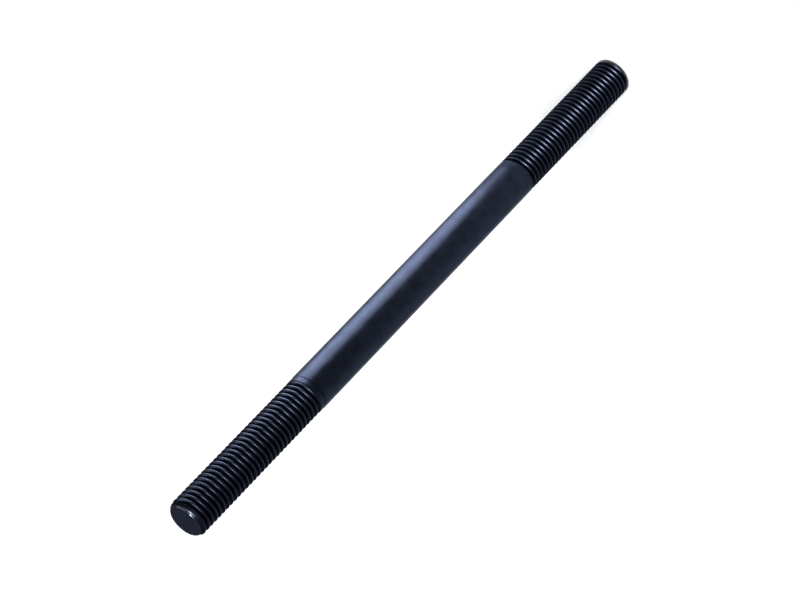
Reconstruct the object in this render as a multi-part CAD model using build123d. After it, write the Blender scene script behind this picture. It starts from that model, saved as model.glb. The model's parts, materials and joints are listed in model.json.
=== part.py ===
"""Clamping stud, M18 x 2.5: a plain shank with a right-hand thread on each end.

One solid of steel, in millimetres. The origin is the centre of the bottom end face, and the
stud stands along +Z. Each thread is a plain V ridge, made of one helical turn repeated, that
runs out into the shank; the chamfered ends are trimmed last.
"""

from build123d import *
import os
from math import radians, tan

# Driving dimensions
LENGTH = 305.0
SHANK_DIAMETER = 18.0
THREAD_PITCH = 2.5
THREAD_DEPTH_RATIO = 0.6134  # of the pitch, from the shank's surface down to the root

# Each threaded end, measured from its own end face
TOP_CREST_DIAMETER = 17.7
TOP_GROOVE_LENGTH = 75.7  # where the groove starts to run out
TOP_THREAD_LENGTH = 80.0  # where the full shank starts
TOP_FIRST_CREST = 1.65  # height of the first crest on the -Y side
BOTTOM_CREST_DIAMETER = 17.9
BOTTOM_GROOVE_LENGTH = 75.3
BOTTOM_THREAD_LENGTH = 79.0
BOTTOM_FIRST_CREST = 1.7

# Turned details, with angles from the stud's axis
POINT_DIAMETER = 15.0  # flat end face, just over the minor diameter of the thread
POINT_ANGLE = 34.0
RUNOUT_ANGLE = 26.0
SHOULDER_ANGLE = 15.0

# Allowances that keep neighbouring surfaces clear of each other
NECK_RISE = 0.02  # of the plain neck above the crests
CORE_OVERLAP = 0.25  # of the shank's core under the thread root
BLANK_MARGIN = 1.0  # of the trimming body around the shank

# Worked out from the dimensions above
SHANK_RADIUS = SHANK_DIAMETER / 2
ROOT_RADIUS = SHANK_RADIUS - THREAD_DEPTH_RATIO * THREAD_PITCH


def cone_length(small_radius, large_radius, angle_from_axis):
    """Axial length of a cone between two radii."""
    return (large_radius - small_radius) / tan(radians(angle_from_axis))


def helix_turn(radius, height):
    """One right-hand turn, starting on the +X side."""
    return Edge.make_helix(THREAD_PITCH, THREAD_PITCH, radius, center=(0, 0, height))


def ridge_turn(crest_radius, height):
    """The two flanks of one turn of the thread."""
    lower_root = helix_turn(ROOT_RADIUS, height)
    crest = helix_turn(crest_radius, height + THREAD_PITCH / 2)
    upper_root = helix_turn(ROOT_RADIUS, height + THREAD_PITCH)
    lower_flank = Face.make_surface_from_curves(lower_root, crest)
    upper_flank = Face.make_surface_from_curves(crest, upper_root)
    return [lower_flank, upper_flank]


def screw_cap(crest_radius, height):
    """Faces that close the screw: a winding floor and the section of the ridge on +X."""
    next_height = height + THREAD_PITCH
    axis = Edge.make_line((0, 0, height), (0, 0, next_height))
    floor = Face.make_surface_from_curves(axis, helix_turn(ROOT_RADIUS, height))
    section = Polyline(
        (0, 0, height),
        (ROOT_RADIUS, 0, height),
        (crest_radius, 0, height + THREAD_PITCH / 2),
        (ROOT_RADIUS, 0, next_height),
        (0, 0, next_height),
        close=True,
    )
    return [floor, Face(Wire(section.edges()))]


def screw(crest_radius, first_crest, thread_length):
    """Solid screw from two turns below the end face to at least a turn into the shank."""
    turns = int(thread_length / THREAD_PITCH) + 4
    start = first_crest - 2.5 * THREAD_PITCH
    flanks = ridge_turn(crest_radius, start)
    faces = [Pos(0, 0, THREAD_PITCH * turn) * flank for turn in range(turns) for flank in flanks]
    faces += screw_cap(crest_radius, start)
    faces += screw_cap(crest_radius, start + THREAD_PITCH * turns)
    return Rot(0, 0, -90) * Solid(Shell(faces))


def runout_outline(crest_radius, groove_length, thread_length):
    """Radius and distance from the end face, from under the thread out to the shank."""
    neck_radius = crest_radius + NECK_RISE
    overlap_length = cone_length(ROOT_RADIUS - CORE_OVERLAP, ROOT_RADIUS, RUNOUT_ANGLE)
    runout_length = cone_length(ROOT_RADIUS, neck_radius, RUNOUT_ANGLE)
    shoulder_length = cone_length(neck_radius, SHANK_RADIUS, SHOULDER_ANGLE)
    return [
        (0, groove_length - overlap_length),
        (ROOT_RADIUS - CORE_OVERLAP, groove_length - overlap_length),
        (neck_radius, groove_length + runout_length),
        (neck_radius, thread_length - shoulder_length),
        (SHANK_RADIUS, thread_length),
    ]


def revolve_outline(points):
    """Solid of revolution from radius and height pairs, closed along the axis."""
    return revolve(Plane.XZ * make_face(Polyline(*points, close=True)), axis=Axis.Z)


def build_core():
    """The shank, with a run-out cone and a neck at each end."""
    bottom = runout_outline(BOTTOM_CREST_DIAMETER / 2, BOTTOM_GROOVE_LENGTH, BOTTOM_THREAD_LENGTH)
    top = runout_outline(TOP_CREST_DIAMETER / 2, TOP_GROOVE_LENGTH, TOP_THREAD_LENGTH)
    return revolve_outline(bottom + [(radius, LENGTH - depth) for radius, depth in reversed(top)])


def build_blank():
    """Trimming body with the two flat end faces and their chamfers."""
    point_radius = POINT_DIAMETER / 2
    blank_radius = SHANK_RADIUS + BLANK_MARGIN
    point_length = cone_length(point_radius, blank_radius, POINT_ANGLE)
    end = [(0, 0), (point_radius, 0), (blank_radius, point_length)]
    return revolve_outline(end + [(radius, LENGTH - depth) for radius, depth in reversed(end)])


def build_stud():
    """The finished stud."""
    bottom_screw = screw(BOTTOM_CREST_DIAMETER / 2, BOTTOM_FIRST_CREST, BOTTOM_THREAD_LENGTH)
    top_screw = screw(TOP_CREST_DIAMETER / 2, TOP_FIRST_CREST, TOP_THREAD_LENGTH)
    top_screw = Pos(0, 0, LENGTH) * Rot(0, 180, 0) * top_screw
    stud = build_core() + bottom_screw + top_screw
    return stud & build_blank()


os.makedirs("parts", exist_ok=True)
export_step(build_stud(), "parts/stud.step")
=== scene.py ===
"""Looks of the clamping stud: its rolled threads, its dark oxide finish, the studio and the camera.

The stud is one closed mesh that replaces the CAD node: two screws joined to a turned core, all
trimmed by a body with chamfered points. Lengths are in metres, and the stud stands along +Z.
"""
import json
from math import cos, pi, radians, sin, tan

import bpy
import bmesh
from mathutils import Matrix, Vector


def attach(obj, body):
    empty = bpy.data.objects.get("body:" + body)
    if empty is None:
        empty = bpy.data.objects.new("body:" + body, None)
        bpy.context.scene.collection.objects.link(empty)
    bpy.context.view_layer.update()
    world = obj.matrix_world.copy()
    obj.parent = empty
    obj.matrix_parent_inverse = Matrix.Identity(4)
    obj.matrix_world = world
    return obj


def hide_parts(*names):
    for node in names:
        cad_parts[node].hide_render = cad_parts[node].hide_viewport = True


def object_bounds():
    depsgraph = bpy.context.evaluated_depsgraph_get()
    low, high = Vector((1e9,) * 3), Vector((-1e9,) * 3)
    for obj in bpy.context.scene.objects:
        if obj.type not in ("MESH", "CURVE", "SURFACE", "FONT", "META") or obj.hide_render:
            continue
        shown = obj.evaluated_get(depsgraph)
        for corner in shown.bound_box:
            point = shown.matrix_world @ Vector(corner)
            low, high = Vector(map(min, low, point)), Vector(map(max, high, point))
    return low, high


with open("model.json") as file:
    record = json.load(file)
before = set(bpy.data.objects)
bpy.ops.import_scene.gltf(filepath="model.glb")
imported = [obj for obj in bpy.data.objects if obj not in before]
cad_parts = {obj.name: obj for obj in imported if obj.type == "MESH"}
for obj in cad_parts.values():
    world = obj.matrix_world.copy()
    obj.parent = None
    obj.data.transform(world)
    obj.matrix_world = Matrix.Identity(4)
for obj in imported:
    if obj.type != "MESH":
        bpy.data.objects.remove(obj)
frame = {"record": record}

MM = 0.001

# From the frame: the whole stud's box, and the record's own sizes
CAD_LOW, CAD_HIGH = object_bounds()
LENGTH = CAD_HIGH[2]
MOUNTS = {mount["name"]: mount for mount in frame["record"]["mounts"]}
SHANK_RADIUS = min(CAD_HIGH[0], CAD_HIGH[1])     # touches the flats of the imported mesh
RECORD_SCALE = SHANK_RADIUS / MOUNTS["shank"]["dims"]["r_mm"]
TOP_CREST_RADIUS = RECORD_SCALE * MOUNTS["top_thread"]["dims"]["r_mm"]
BOTTOM_CREST_RADIUS = RECORD_SCALE * MOUNTS["bottom_thread"]["dims"]["r_mm"]
SHANK_HALF = MOUNTS["shank"]["dims"]["length_mm"] * MM / 2
SHANK_MIDDLE = MOUNTS["shank"]["pos_m"][2]
BOTTOM_THREAD_LENGTH = SHANK_MIDDLE - SHANK_HALF
TOP_THREAD_LENGTH = LENGTH - SHANK_MIDDLE - SHANK_HALF

# ISO metric thread, M18 x 2.5
PITCH = 2.5 * MM
FLANK_ANGLE = radians(30)                        # from the plane across the stud
FILLET_TURN = pi / 2 - FLANK_ANGLE               # from a flank to a crest or a root
ROOT_RADIUS = SHANK_RADIUS - 0.6134 * PITCH
PITCH_RADIUS = SHANK_RADIUS - 0.3248 * PITCH
ROOT_FILLET = 0.1443 * PITCH
CREST_FILLET = 0.15 * MM

# As in the solid: where each groove starts to run out, and the first crest on the -Y side
TOP_GROOVE_LENGTH = 75.7 * MM
TOP_FIRST_CREST = 1.65 * MM
BOTTOM_GROOVE_LENGTH = 75.3 * MM
BOTTOM_FIRST_CREST = 1.7 * MM

# Turned details, with angles from the stud's axis
RUNOUT_ANGLE = radians(45)                       # the solid's is 26 degrees
SHOULDER_ANGLE = radians(15)
NECK_RISE = 0.02 * MM                            # of the plain neck above the crests
POINT_RADIUS = 7.5 * MM
POINT_ANGLE = radians(34)
POINT_BREAK = 0.2 * MM                           # of the end faces, by a flat at 45 degrees
EDGE_BREAK = 0.12 * MM                           # rounding of the turned edges

# How far the parts of the mesh reach past each other
CORE_OVERLAP = 0.1 * PITCH                       # of the core under the thread's root
BLANK_SCALE = 1.2                                # trimming body's radius over the shank's
LEAD_IN = 1.5 * PITCH                            # from a screw's start to that first crest
EXTRA_TURNS = 4                                  # for the lead-in and past the shoulder

# Mesh fineness and shading
SIDES = 96
FILLET_STEPS = 3
END_DISC = 0.5                                   # part of an end face that is one polygon
BREAK_SHARE = 0.15                               # most of a straight run that a break takes
BREAK_HOLD = 3                                   # breaks from a corner to its holding circle
SLIVER = 0.003 * MM
SHARP_ANGLE = radians(32)                        # just over a fillet's step
CHAMFER_SHARP_ANGLE = radians(20)                # where a chamfer cuts the thread
CHAMFER_TOLERANCE = 0.01                         # of the slope that tells a chamfer's faces

# The oxide's patterns, in features to the metre along each axis
MOTTLE_SCALE = (260.0, 260.0, 190.0)
GRAIN_SCALE = (1900.0, 1900.0, 1900.0)
RINGS_SCALE = (60.0, 60.0, 2600.0)               # turning marks
MOTTLE_DETAIL = 4.0
FINE_DETAIL = 2.0

# Parts of the noise, which runs from 0 to 1, that the oxide's variation is spread over
TONE_SPAN = (0.3, 0.7)
STREAK_SPAN = (0.35, 0.65)
WEAR_SPAN = (0.35, 0.62)
WEAR_AMOUNT = (0.25, 1.0)

# The oxide's colours
OXIDE_DARK = (0.0138, 0.0170, 0.0280, 1)
OXIDE_LIGHT = (0.0202, 0.0248, 0.0408, 1)
WORN_CREST = (0.033, 0.039, 0.059, 1)
WORN_EDGE = (0.075, 0.082, 0.105, 1)
GRAZING_TINT = (0.54, 0.55, 0.58, 1)

# Where the oxide is worn, each from unworn to worn: heights from the stud's middle, and radii
THREAD_WEAR_HEIGHTS = (75.5 * MM, 77.5 * MM)
CREST_WEAR_RADII = (TOP_CREST_RADIUS - 0.22 * MM, TOP_CREST_RADIUS)
END_WEAR_HEIGHTS = (LENGTH / 2 - 0.75 * MM, LENGTH / 2 - 0.6 * MM)
EDGE_WEAR_RADII = (POINT_RADIUS - 0.35 * MM, POINT_RADIUS - 0.2 * MM)

# Gloss and relief
ROUGHNESS = (0.26, 0.34)
EDGE_POLISH = 0.1
GRAIN_RELIEF = 0.25                              # of the turning marks' relief
RELIEF_STRENGTH = 0.08
RELIEF_DEPTH = 0.02 * MM

# Floor and surroundings
FLOOR_REACH = 4
FLOOR_COLOUR = (0.95, 0.95, 0.95, 1)
WORLD_COLOUR = (0.25, 0.265, 0.275, 1)

# Camera, rolled so that the stud's top points to the lower left
CAMERA_PLACE = Vector((0.0003, -1.0162, 0.7931))
CAMERA_TARGET = Vector((-0.0008, 0.0, 0.1628))
CAMERA_ROLL = radians(-136.2)
CAMERA_LENS = 128.9
CAMERA_SENSOR = 36.0


def around(radius, side, height):
    """A point on a circle around the axis, whose side 0 is at -Y."""
    angle = 2 * pi * side / SIDES - pi / 2
    return (radius * cos(angle), radius * sin(angle), height)


def groove_section(crest_radius):
    """One groove from crest middle to just before the next, as (offset along the axis, radius)."""
    half_width = PITCH / 4 + (crest_radius - PITCH_RADIUS) * tan(FLANK_ANGLE)
    crest_run = CREST_FILLET * tan(FILLET_TURN / 2)
    side = [(PITCH / 2, crest_radius)]
    for step in range(FILLET_STEPS):
        turn = FILLET_TURN * step / (FILLET_STEPS - 1)
        offset = half_width + crest_run - CREST_FILLET * sin(turn)
        side.append((offset, crest_radius - CREST_FILLET * (1 - cos(turn))))
    for step in range(FILLET_STEPS - 1):
        turn = FILLET_TURN * (1 - step / (FILLET_STEPS - 1))
        side.append((ROOT_FILLET * sin(turn), ROOT_RADIUS + ROOT_FILLET * (1 - cos(turn))))
    left = [(-offset, radius) for offset, radius in side]
    right = list(reversed(side))[:-1]
    return left + [(0.0, ROOT_RADIUS)] + right


def screw(crest_radius, first_crest, thread_length):
    """A closed screw from before the end face at 0 to past the shoulder.

    Each side has a column of points up the screw. The first column is a turn longer than the
    others, because the last side's faces end on it one pitch higher.
    """
    section = groove_section(crest_radius)
    points = len(section)
    turns = int(thread_length / PITCH) + EXTRA_TURNS
    start = first_crest - LEAD_IN
    verts = [(0, 0, start), (0, 0, start + PITCH * turns)]
    columns = []
    for j in range(SIDES):
        column = []
        for turn in range(turns + (1 if j == 0 else 0)):
            for offset, radius in section:
                column.append(len(verts))
                verts.append(around(radius, j, start + PITCH * (turn + j / SIDES) + offset))
        columns.append(column)
    rows = turns * points
    faces = []
    for column, following in zip(columns, columns[1:] + [columns[0][points:]]):
        for m in range(rows - 1):
            faces.append((column[m], following[m], following[m + 1], column[m + 1]))

    # Each end is a fan from the axis around the helix and back along the first column's extra turn
    low_rim = [column[0] for column in columns] + columns[0][points:0:-1]
    high_rim = [column[rows - 1] for column in columns]
    high_rim += columns[0][rows + points - 1:rows - 1:-1]
    faces += [(0, b, a) for a, b in zip(low_rim, low_rim[1:] + low_rim[:1])]
    faces += [(1, a, b) for a, b in zip(high_rim, high_rim[1:] + high_rim[:1])]
    return verts, faces


def rounded(outline, reach):
    """The outline with its inner corners broken, and a circle on each side to hold the shading."""
    result = [outline[0]]
    for before, corner, after in zip(outline, outline[1:], outline[2:]):
        corner = Vector(corner)
        back = Vector(before) - corner
        on = Vector(after) - corner
        back *= min(reach / back.length, BREAK_SHARE)
        on *= min(reach / on.length, BREAK_SHARE)
        middle = corner + (back + on) / 4
        result += [corner + back * BREAK_HOLD, corner + back, middle]
        result += [corner + on, corner + on * BREAK_HOLD]
    return result + [outline[-1]]


def lathe(outline):
    """A closed solid of revolution from (radius, height) pairs, going up."""
    verts = [around(radius, j, height) for radius, height in outline for j in range(SIDES)]
    faces = []
    for row in range(len(outline) - 1):
        for j in range(SIDES):
            i = (j + 1) % SIDES
            a = row * SIDES
            faces.append((a + j, a + i, a + SIDES + i, a + SIDES + j))
    faces.append(list(reversed(range(SIDES))))
    faces.append(list(range(len(verts) - SIDES, len(verts))))
    return verts, faces


def upturned(points):
    """Points measured from an end face, turned over to hang from the top of the stud."""
    return [(-x, y, LENGTH - z) for x, y, z in points]


def runout_outline(crest_radius, groove_length, thread_length):
    """From under the thread out over the run-out and the neck to the shank."""
    neck_radius = crest_radius + NECK_RISE
    return [
        (ROOT_RADIUS - CORE_OVERLAP, groove_length - CORE_OVERLAP / tan(RUNOUT_ANGLE)),
        (neck_radius, groove_length + (neck_radius - ROOT_RADIUS) / tan(RUNOUT_ANGLE)),
        (neck_radius, thread_length - (SHANK_RADIUS - neck_radius) / tan(SHOULDER_ANGLE)),
        (SHANK_RADIUS, thread_length),
    ]


def core():
    """The shank with a run-out and a neck at each end."""
    bottom = runout_outline(BOTTOM_CREST_RADIUS, BOTTOM_GROOVE_LENGTH, BOTTOM_THREAD_LENGTH)
    top = runout_outline(TOP_CREST_RADIUS, TOP_GROOVE_LENGTH, TOP_THREAD_LENGTH)
    outline = bottom + [(radius, LENGTH - depth) for radius, depth in reversed(top)]
    return lathe(rounded(outline, EDGE_BREAK))


def blank():
    """A plain body of the stud's length with chamfered points, wider than the stud between them."""
    wide = SHANK_RADIUS * BLANK_SCALE
    rise = (wide - POINT_RADIUS) / tan(POINT_ANGLE)
    flat = POINT_BREAK / (1 - tan(POINT_ANGLE))
    point = [
        (POINT_RADIUS * END_DISC, 0),
        (POINT_RADIUS - POINT_BREAK, 0),
        (POINT_RADIUS - POINT_BREAK + flat, flat),
        (wide, rise),
    ]
    outline = point + [(radius, LENGTH - height) for radius, height in reversed(point)]
    return lathe(rounded(outline, EDGE_BREAK))


def mesh_object(name, verts, faces):
    """A new object in the scene with this mesh."""
    mesh = bpy.data.meshes.new(name)
    mesh.from_pydata(verts, [], faces)
    mesh.validate()
    thing = bpy.data.objects.new(name, mesh)
    bpy.context.scene.collection.objects.link(thing)
    return thing


def weld(mesh):
    """Takes out the slivers that the trimming leaves."""
    bm = bmesh.new()
    bm.from_mesh(mesh)
    bmesh.ops.dissolve_degenerate(bm, edges=bm.edges, dist=SLIVER)
    bm.to_mesh(mesh)
    bm.free()


def on_chamfer(face):
    """True for a face of a chamfer, told by its slope, which no other surface has."""
    return abs(abs(face.normal.z) - sin(POINT_ANGLE)) < CHAMFER_TOLERANCE


def crisp_points(mesh):
    """Marks the edges sharp where the chamfers cut through the threads."""
    bm = bmesh.new()
    bm.from_mesh(mesh)
    for edge in bm.edges:
        chamfers = sum(on_chamfer(face) for face in edge.link_faces)
        angle = edge.calc_face_angle(0.0)
        if chamfers == 1 and angle > CHAMFER_SHARP_ANGLE:
            edge.smooth = False
    bm.to_mesh(mesh)
    bm.free()


def make_stud():
    """The screws and the core in one, trimmed to the chamfered points."""
    verts, faces = screw(TOP_CREST_RADIUS, TOP_FIRST_CREST, TOP_THREAD_LENGTH)
    top_screw = mesh_object("top_screw", upturned(verts), faces)
    verts, faces = screw(BOTTOM_CREST_RADIUS, BOTTOM_FIRST_CREST, BOTTOM_THREAD_LENGTH)
    bottom_screw = mesh_object("bottom_screw", verts, faces)
    point_blank = mesh_object("point_blank", *blank())
    stud = mesh_object("threaded_stud", *core())
    tools = (("UNION", top_screw), ("UNION", bottom_screw), ("INTERSECT", point_blank))
    for operation, tool in tools:
        step = stud.modifiers.new(tool.name, "BOOLEAN")
        step.operation = operation
        step.solver = "MANIFOLD"
        step.object = tool
    depsgraph = bpy.context.evaluated_depsgraph_get()
    mesh = bpy.data.meshes.new_from_object(stud.evaluated_get(depsgraph))
    stud.modifiers.clear()
    stud.data = mesh
    for operation, tool in tools:
        bpy.data.objects.remove(tool)
    weld(mesh)
    mesh.shade_smooth()
    mesh.set_sharp_from_angle(angle=SHARP_ANGLE)
    crisp_points(mesh)
    shading = stud.modifiers.new("flat_flanks", "WEIGHTED_NORMAL")
    shading.keep_sharp = True
    return stud


class Nodes:
    """Adds nodes to a material, with inputs that are outputs of other nodes or plain values."""

    def __init__(self, material):
        material.use_nodes = True
        self.tree = material.node_tree
        self.shader = self.tree.nodes["Principled BSDF"]

    def feed(self, socket, value):
        if isinstance(value, bpy.types.NodeSocket):
            self.tree.links.new(value, socket)
        else:
            socket.default_value = value

    def add(self, kind, **settings):
        node = self.tree.nodes.new(kind)
        for name, value in settings.items():
            setattr(node, name, value)
        return node

    def math(self, operation, *values):
        node = self.add("ShaderNodeMath", operation=operation)
        for socket, value in zip(node.inputs, values):
            self.feed(socket, value)
        return node.outputs["Value"]

    def vector(self, operation, *values):
        node = self.add("ShaderNodeVectorMath", operation=operation)
        for socket, value in zip(node.inputs, values):
            self.feed(socket, value)
        return node.outputs["Value" if operation == "LENGTH" else "Vector"]

    def noise(self, place, scale, detail):
        """Noise from 0 to 1, with so many features to the metre along each axis."""
        node = self.add("ShaderNodeTexNoise")
        self.feed(node.inputs["Scale"], 1.0)
        self.feed(node.inputs["Detail"], detail)
        self.feed(node.inputs["Vector"], self.vector("MULTIPLY", place, scale))
        return node.outputs["Fac"]

    def ramp(self, value, start, end, low=0.0, high=1.0):
        """Goes from low to high as the value goes from start to end, and is held outside."""
        node = self.add("ShaderNodeMapRange")
        for socket, number in zip(node.inputs, (value, start, end, low, high)):
            self.feed(socket, number)
        return node.outputs["Result"]

    def mix(self, factor, first, second):
        """One colour into another."""
        node = self.add("ShaderNodeMix", data_type="RGBA")
        self.feed(node.inputs["Factor"], factor)
        colours = [socket for socket in node.inputs if socket.type == "RGBA"]
        for socket, value in zip(colours, (first, second)):
            self.feed(socket, value)
        return [socket for socket in node.outputs if socket.type == "RGBA"][0]

    def bump(self, relief, strength, depth):
        node = self.add("ShaderNodeBump")
        self.feed(node.inputs["Strength"], strength)
        self.feed(node.inputs["Distance"], depth)
        self.feed(node.inputs["Height"], relief)
        return node.outputs["Normal"]


def worn_places(nodes, place, mottle):
    """How far each place is worn: on the threads' crests in patches, and at the ends' edges."""
    from_axis = nodes.vector("LENGTH", nodes.vector("MULTIPLY", place, (1.0, 1.0, 0.0)))
    split = nodes.add("ShaderNodeSeparateXYZ")
    nodes.feed(split.inputs["Vector"], place)
    from_middle = nodes.math("SUBTRACT", split.outputs["Z"], LENGTH / 2)
    from_middle = nodes.math("ABSOLUTE", from_middle)
    in_thread = nodes.ramp(from_middle, *THREAD_WEAR_HEIGHTS)
    on_crest = nodes.ramp(from_axis, *CREST_WEAR_RADII)
    patchy = nodes.ramp(mottle, *WEAR_SPAN, *WEAR_AMOUNT)
    crests = nodes.math("MULTIPLY", nodes.math("MULTIPLY", in_thread, on_crest), patchy)
    near_end = nodes.ramp(from_middle, *END_WEAR_HEIGHTS)
    at_edge = nodes.ramp(from_axis, *EDGE_WEAR_RADII)
    return crests, nodes.math("MULTIPLY", near_end, at_edge)


def oxide_steel():
    """Black oxide on turned steel: mottled blue-black, a little worn, with faint turning marks."""
    material = bpy.data.materials.new("oxide_steel")
    nodes = Nodes(material)
    inputs = nodes.shader.inputs
    inputs["Metallic"].default_value = 1.0
    inputs["Specular Tint"].default_value = GRAZING_TINT

    place = nodes.add("ShaderNodeTexCoord").outputs["Object"]
    mottle = nodes.noise(place, MOTTLE_SCALE, MOTTLE_DETAIL)
    grain = nodes.noise(place, GRAIN_SCALE, FINE_DETAIL)
    rings = nodes.noise(place, RINGS_SCALE, FINE_DETAIL)
    worn_crests, worn_edges = worn_places(nodes, place, mottle)

    oxide = nodes.mix(nodes.ramp(mottle, *TONE_SPAN), OXIDE_DARK, OXIDE_LIGHT)
    rubbed = nodes.mix(worn_crests, oxide, WORN_CREST)
    nodes.feed(inputs["Base Color"], nodes.mix(worn_edges, rubbed, WORN_EDGE))

    half_rings = nodes.math("MULTIPLY", rings, 0.5)
    half_mottle = nodes.math("MULTIPLY", mottle, 0.5)
    streaks = nodes.math("ADD", half_rings, half_mottle)
    dull = nodes.ramp(streaks, *STREAK_SPAN, *ROUGHNESS)
    polish = nodes.math("MULTIPLY", worn_edges, EDGE_POLISH)
    nodes.feed(inputs["Roughness"], nodes.math("SUBTRACT", dull, polish))

    relief = nodes.math("ADD", rings, nodes.math("MULTIPLY", grain, GRAIN_RELIEF))
    nodes.feed(inputs["Normal"], nodes.bump(relief, RELIEF_STRENGTH, RELIEF_DEPTH))
    return material


def dress():
    """The finished stud in place of its CAD node."""
    stud = make_stud()
    stud.data.materials.clear()
    stud.data.materials.append(oxide_steel())
    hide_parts("stud")
    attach(stud, "root")


def make_floor():
    """A plain pale floor."""
    quarters = ((-1, -1), (1, -1), (1, 1), (-1, 1))
    corners = [(x * FLOOR_REACH, y * FLOOR_REACH, 0) for x, y in quarters]
    floor = mesh_object("floor", corners, [(0, 1, 2, 3)])
    material = bpy.data.materials.new("pale_floor")
    inputs = Nodes(material).shader.inputs
    inputs["Base Color"].default_value = FLOOR_COLOUR
    inputs["Roughness"].default_value = 0.9
    inputs["Specular IOR Level"].default_value = 0.1
    floor.data.materials.append(material)


def make_world():
    """Even grey surroundings."""
    world = bpy.data.worlds.new("studio")
    world.use_nodes = True
    inputs = world.node_tree.nodes["Background"].inputs
    inputs["Color"].default_value = WORLD_COLOUR
    inputs["Strength"].default_value = 1.0
    bpy.context.scene.world = world


def aimed(place, target):
    """The turn that points a lamp or a camera from its place at its target."""
    return (Vector(target) - Vector(place)).to_track_quat("-Z", "Y")


def hang(data, place, target):
    """Puts up a lamp that the camera doesn't see."""
    lamp = bpy.data.objects.new(data.name, data)
    lamp.location = place
    lamp.rotation_euler = aimed(place, target).to_euler()
    lamp.visible_camera = False
    bpy.context.scene.collection.objects.link(lamp)


def area_lamp(name, place, target, size, power, spread=180):
    """A soft box. A small spread keeps its light off the floor around."""
    data = bpy.data.lights.new(name, "AREA")
    data.shape = "RECTANGLE"
    data.size, data.size_y = size
    data.energy = power
    data.spread = radians(spread)
    hang(data, place, target)


def spot_lamp(name, place, target, cone, blend, radius, power):
    """A round lamp with a soft-edged cone of light."""
    data = bpy.data.lights.new(name, "SPOT")
    data.energy = power
    data.spot_size = radians(cone)
    data.spot_blend = blend
    data.shadow_soft_size = radius
    hang(data, place, target)


def make_lamps():
    """Each lamp lights the floor or gives the steel one of the photograph's highlights."""
    # The bright band along the shank and the threads
    area_lamp("side", place=(0.17, -0.045, 0.10), target=(-0.03, -0.045, 0.224),
              size=(0.27, 0.20), power=0.58, spread=100)
    # The floor, and the middle of the threads
    spot_lamp("top", place=(0, -0.6, 3.0), target=(0, 1.1, 0),
              cone=45, blend=0.1, radius=0.2, power=350)
    # The glint on the end face's edge
    area_lamp("front", place=(-0.04, -0.75, 1.75), target=(-0.04, 0.95, 0),
              size=(0.9, 0.12), power=1.2, spread=50)
    # The upper flanks beside the bright band
    area_lamp("fill", place=(0.22, 0.2, 0.7), target=(0, 0, 0.27),
              size=(0.24, 0.26), power=0.9)
    # What the end face mirrors
    area_lamp("back", place=(0, 0.9, 0.745), target=(0, 0, 0.305),
              size=(0.5, 0.3), power=0.08, spread=90)


def make_camera():
    """Looks down on the standing stud, at the photograph's angle and roll."""
    data = bpy.data.cameras.new("camera")
    data.sensor_width = CAMERA_SENSOR
    data.lens = CAMERA_LENS
    camera = bpy.data.objects.new("camera", data)
    level = aimed(CAMERA_PLACE, CAMERA_TARGET).to_matrix().to_4x4()
    roll = Matrix.Rotation(CAMERA_ROLL, 4, "Z")
    camera.matrix_world = Matrix.Translation(CAMERA_PLACE) @ level @ roll
    bpy.context.scene.collection.objects.link(camera)
    bpy.context.scene.camera = camera


dress()
make_floor()
make_world()
make_lamps()
make_camera()
bpy.context.scene.view_settings.view_transform = "Standard"
